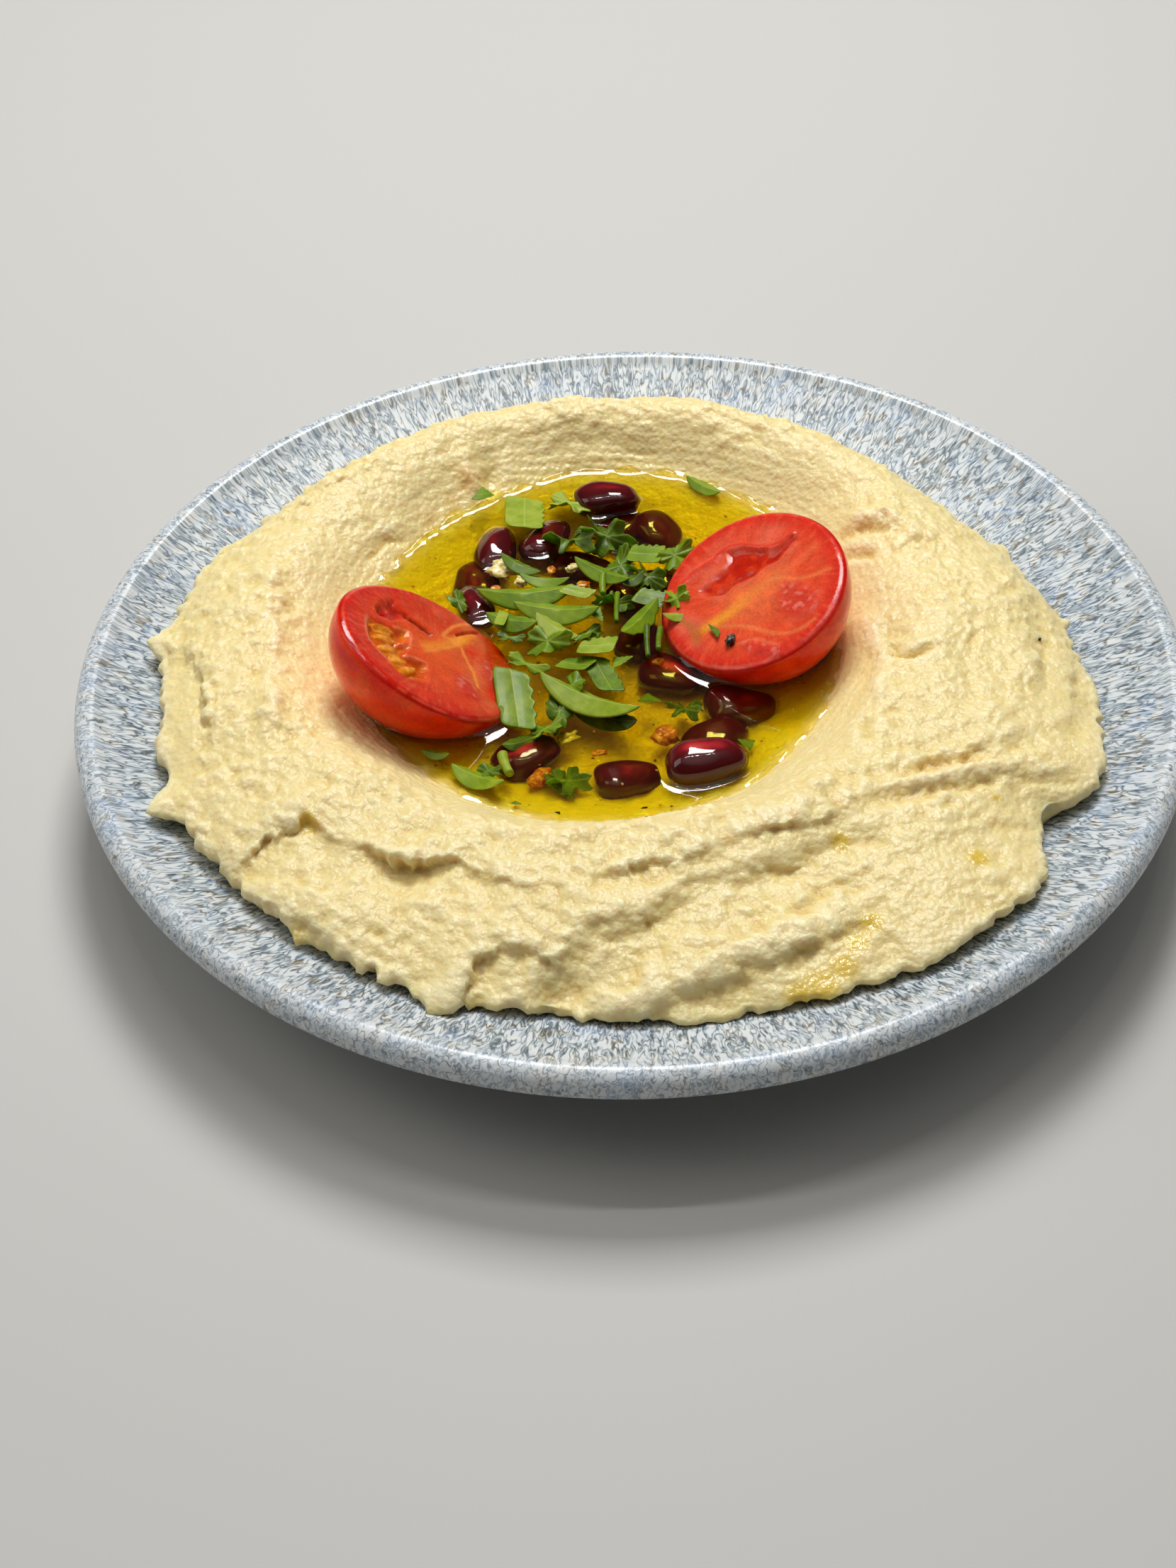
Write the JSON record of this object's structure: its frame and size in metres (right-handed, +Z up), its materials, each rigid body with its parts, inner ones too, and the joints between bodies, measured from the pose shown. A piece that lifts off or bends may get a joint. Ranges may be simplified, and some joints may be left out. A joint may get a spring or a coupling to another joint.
{
  "type": "plated hummus",
  "caption": "Mound of hummus on a round coupe plate, with a spooned well of olive oil holding cherry tomato halves, pomegranate seeds and parsley.",
  "frame": {"origin": "centre of the underside of the plate's foot ring, on the table", "axes": "+Z up out of the plate; the front of the dish faces -Y; +X to the right seen from the front"},
  "size_m": [0.182, 0.182, 0.0364],
  "materials": {
    "stoneware_glaze": "glossy reactive glaze, white cells divided by thin blue-grey and brown lines",
    "hummus": "moist, grainy chickpea paste, satin",
    "olive_oil": "clear golden-green oil, mirror smooth",
    "tomato": "glossy red skin and wet cut flesh",
    "pomegranate": "dark red, glossy, slightly see-through"
  },
  "bodies": {
    "root": {"plate": "stoneware_glaze", "hummus": "hummus", "olive_oil": "olive_oil", "tomato_half_right": "tomato", "tomato_half_left": "tomato", "pomegranate_seed_1": "pomegranate", "pomegranate_seed_2": "pomegranate", "pomegranate_seed_3": "pomegranate", "pomegranate_seed_4": "pomegranate", "pomegranate_seed_5": "pomegranate"}
  },
  "joints": []
}
